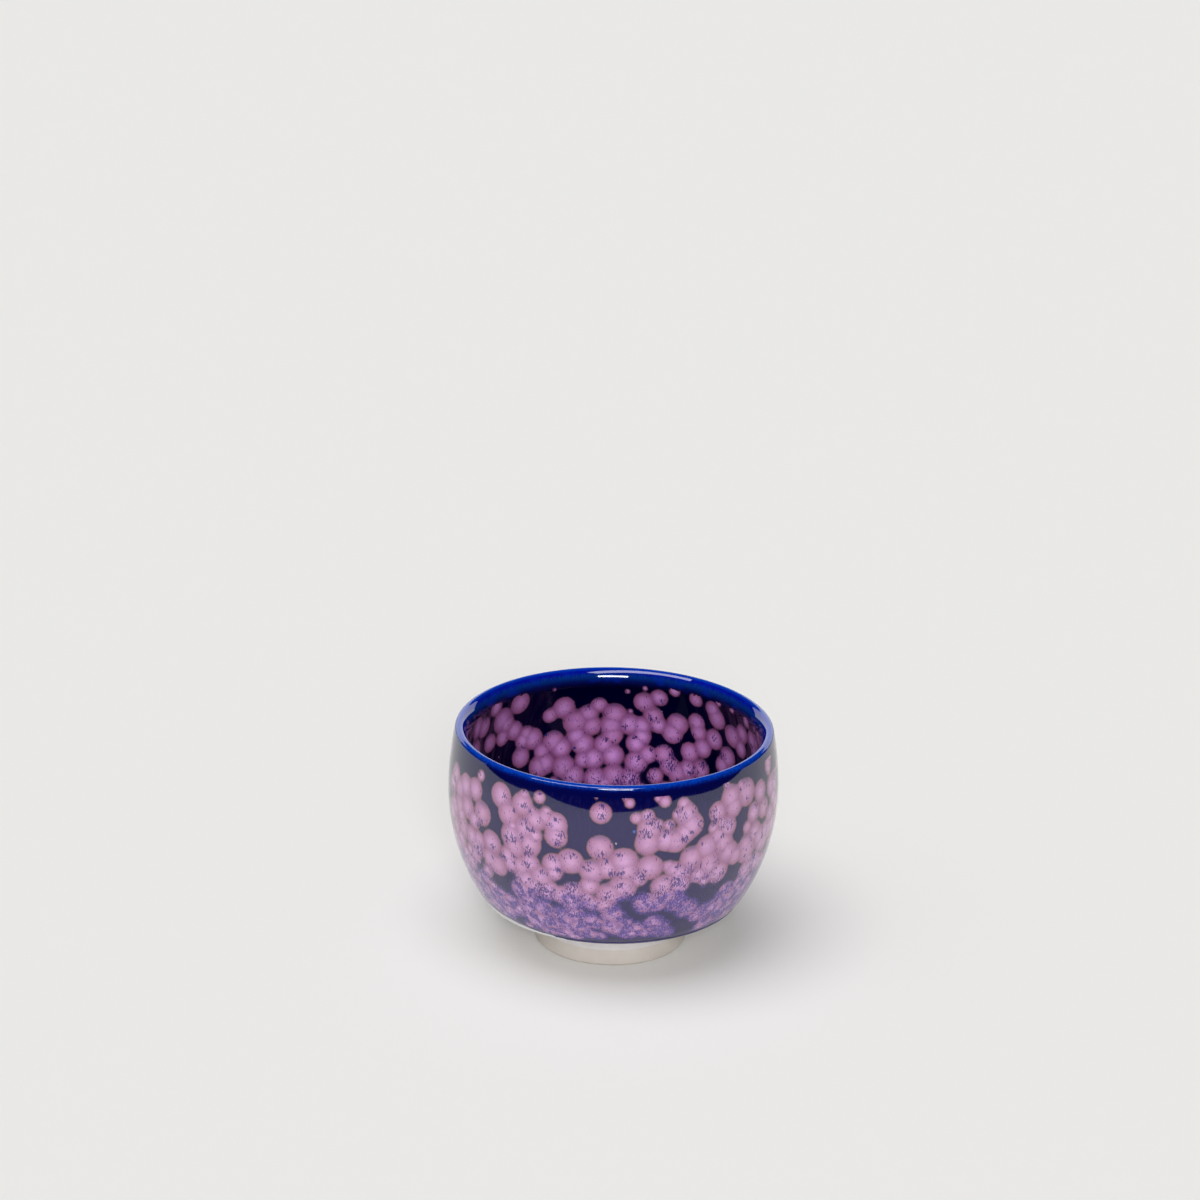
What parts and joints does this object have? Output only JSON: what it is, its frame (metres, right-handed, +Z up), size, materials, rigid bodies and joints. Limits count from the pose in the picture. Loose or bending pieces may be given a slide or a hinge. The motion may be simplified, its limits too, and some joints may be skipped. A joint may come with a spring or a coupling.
{
  "type": "sake cup",
  "caption": "Small round sake cup: a rounded porcelain bowl with a thin lip on a turned foot ring, under cobalt crystalline glaze.",
  "frame": {"origin": "middle of the ring that the cup stands on, on the table plane", "axes": "+Z up along the cup's axis, towards the mouth; -Y towards the front of the picture"},
  "size_m": [0.065, 0.065, 0.0451],
  "materials": {
    "porcelain": "bare fired porcelain, matt, with fine turning marks",
    "crystal_glaze": "glossy navy glaze with round pink crystals and violet specks",
    "lip_glaze": "glossy thin cobalt glaze"
  },
  "bodies": {
    "root": {"porcelain_body": "porcelain", "foot_ring": "porcelain", "outer_glaze": "crystal_glaze", "inner_glaze": "crystal_glaze", "lip_glaze": "lip_glaze"}
  },
  "joints": []
}
